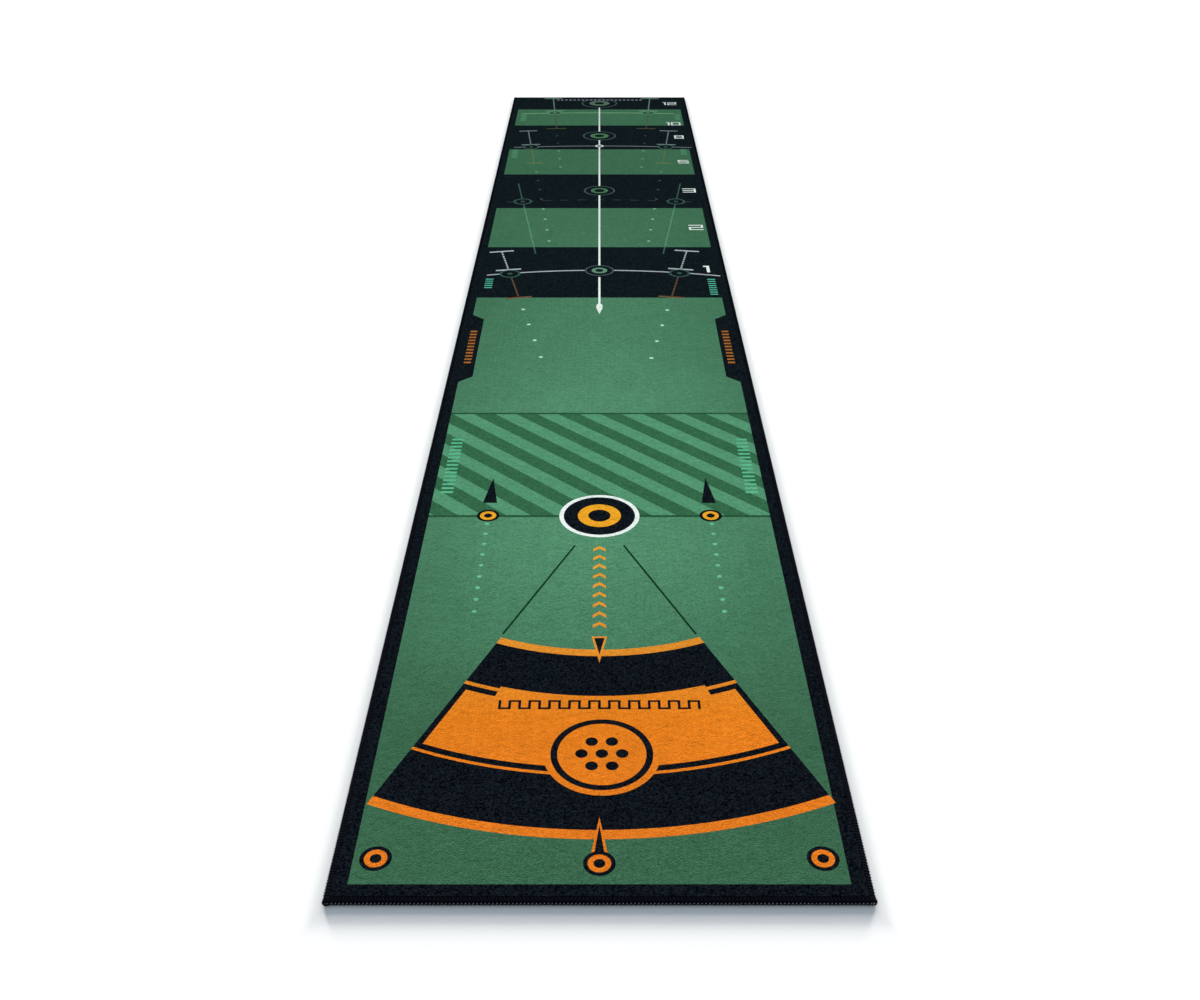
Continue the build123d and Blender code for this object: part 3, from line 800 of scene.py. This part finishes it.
def overlockRun(name, nodeName, outward, step):
    # one stitch at the start of an edge, repeated along it
    low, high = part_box(nodeName)
    lengthwise = high.y - low.y if outward.x else high.x - low.x
    run = lengthwise - 2 * (lapWidth + stitch["cornerGap"])
    count = int(run / stitch["pitch"])
    start = -(count - 1) / 2 * stitch["pitch"]
    edge = Vector((outward.x * lapInner.x, outward.y * lapInner.y))

    def toWorld(out, along, height):
        place = edge + outward * out + step * (start + along)
        return (place.x, place.y, height)

    verts, faces, marks = [], [], []
    addStitch(verts, faces, marks, toWorld)
    addPurl(verts, faces, marks, toWorld)
    piece = yarnPiece(name, verts, faces, marks, [nodeName])
    array = piece.modifiers.new("stitches", "ARRAY")
    array.use_relative_offset = False
    array.use_constant_offset = True
    array.constant_offset_displace = (step.x * stitch["pitch"], step.y * stitch["pitch"], 0)
    array.count = count
    displace(piece, wander, stitch["wander"], axis="Y" if outward.x else "X")
    displace(piece, wander, stitch["wander"] * stitch["wanderUp"], axis="Z")
    return piece


overlockRun("overlock_right_stitches", "overlock_right", Vector((1, 0)), Vector((0, 1)))
overlockRun("overlock_left_stitches", "overlock_left", Vector((-1, 0)), Vector((0, 1)))
overlockRun("overlock_far_stitches", "overlock_far", Vector((0, 1)), Vector((1, 0)))
overlockRun("overlock_near_stitches", "overlock_near", Vector((0, -1)), Vector((1, 0)))


def overlockCorners():
    # stitches fanned round each corner of the pile
    verts, faces, marks = [], [], []
    fan = stitch["cornerFan"]
    for sideX in (-1, 1):
        for sideY in (-1, 1):
            pivot = Vector((sideX * lapInner.x, sideY * lapInner.y))
            for k in range(fan):
                turn = math.radians(90 * (k + 0.5) / fan)
                outward = Vector((sideX * math.cos(turn), sideY * math.sin(turn)))
                step = Vector((-outward.y, outward.x))
                stretch = min(1 / max(math.cos(turn), math.sin(turn)), stitch["cornerReach"])

                def toWorld(out, along, height):
                    squeeze = min(1.0, 0.25 + out / lapWidth)
                    place = pivot + outward * out + step * along * squeeze
                    return (place.x, place.y, height)

                addStitch(verts, faces, marks, toWorld, stretch)
                addPurl(verts, faces, marks, toWorld, stretch)
    return yarnPiece("overlock_corner_stitches", verts, faces, marks)


overlockCorners()
print("overlock done")


studio = {
    "floorSize": 80.0,
    "floorTone": (246, 247, 247),
    "skyTone": (0.78, 0.89, 1.0),
    "skyStrength": 0.44,
    "keyTone": (1.0, 0.95, 0.89),
}
# pairs of soft keys beyond the far end: height and softness in degrees, strength, turn to each side
keys = {"low_key": (9.85, 11, 3.97, 23.4), "high_key": (17.5, 29, 1.73, 14.8)}

floorHalf = studio["floorSize"] / 2
floor = meshObject("studio_floor", [(-floorHalf, -floorHalf, 0), (floorHalf, -floorHalf, 0),
                                    (floorHalf, floorHalf, 0), (-floorHalf, floorHalf, 0)], [[0, 1, 2, 3]])
floorNodes = Nodes("studio_floor_paper")
floorTone = floorNodes.ramp(floorNodes.noise(3, 2), "Fac", [
    (0.0, linear(studio["floorTone"])), (1.0, linear([tone + 2 for tone in studio["floorTone"]]))])
floorBump = floorNodes.bump(floorNodes.noise(200, 2), "Fac", 0.02, 0.0002)
floor.data.materials.append(floorNodes.finish(floorTone, "Color", 0.9, 0.0, floorBump))

world = bpy.data.worlds.new("studio_world")
bpy.context.scene.world = world
world.use_nodes = True
world.node_tree.nodes["Background"].inputs["Color"].default_value = (*studio["skyTone"], 1)
world.node_tree.nodes["Background"].inputs["Strength"].default_value = studio["skyStrength"]


def keyLight(name, elevation, softness, strength, azimuth):
    # soft light from beyond the far end; the angle that it spans makes the edge's shadow fade
    lamp = bpy.data.lights.new(name, "SUN")
    lamp.angle = math.radians(softness)
    lamp.energy = strength
    lamp.color = studio["keyTone"]
    holder = bpy.data.objects.new(name, lamp)
    holder.rotation_euler = (math.radians(elevation - 90), 0, math.radians(azimuth))
    bpy.context.scene.collection.objects.link(holder)


for name, (elevation, softness, strength, spread) in keys.items():
    keyLight(name + "_left", elevation, softness, strength, spread)
    keyLight(name + "_right", elevation, softness, strength, -spread)

camera = {"distance": 0.7845, "height": 0.893, "pitchDown": 31.05, "focal": 37.79, "shift": (0.0005, 0.0006)}
lens = bpy.data.cameras.new("main_camera")
lens.lens = camera["focal"]
lens.sensor_width = 36
lens.shift_x, lens.shift_y = camera["shift"]
cameraObject = bpy.data.objects.new("main_camera", lens)
cameraObject.location = (0, cadLow.y - camera["distance"], cadHigh.z + camera["height"])
cameraObject.rotation_euler = (math.radians(90 - camera["pitchDown"]), 0, 0)
bpy.context.scene.collection.objects.link(cameraObject)
bpy.context.scene.camera = cameraObject
bpy.context.scene.view_settings.view_transform = "Standard"
print("studio and camera done")
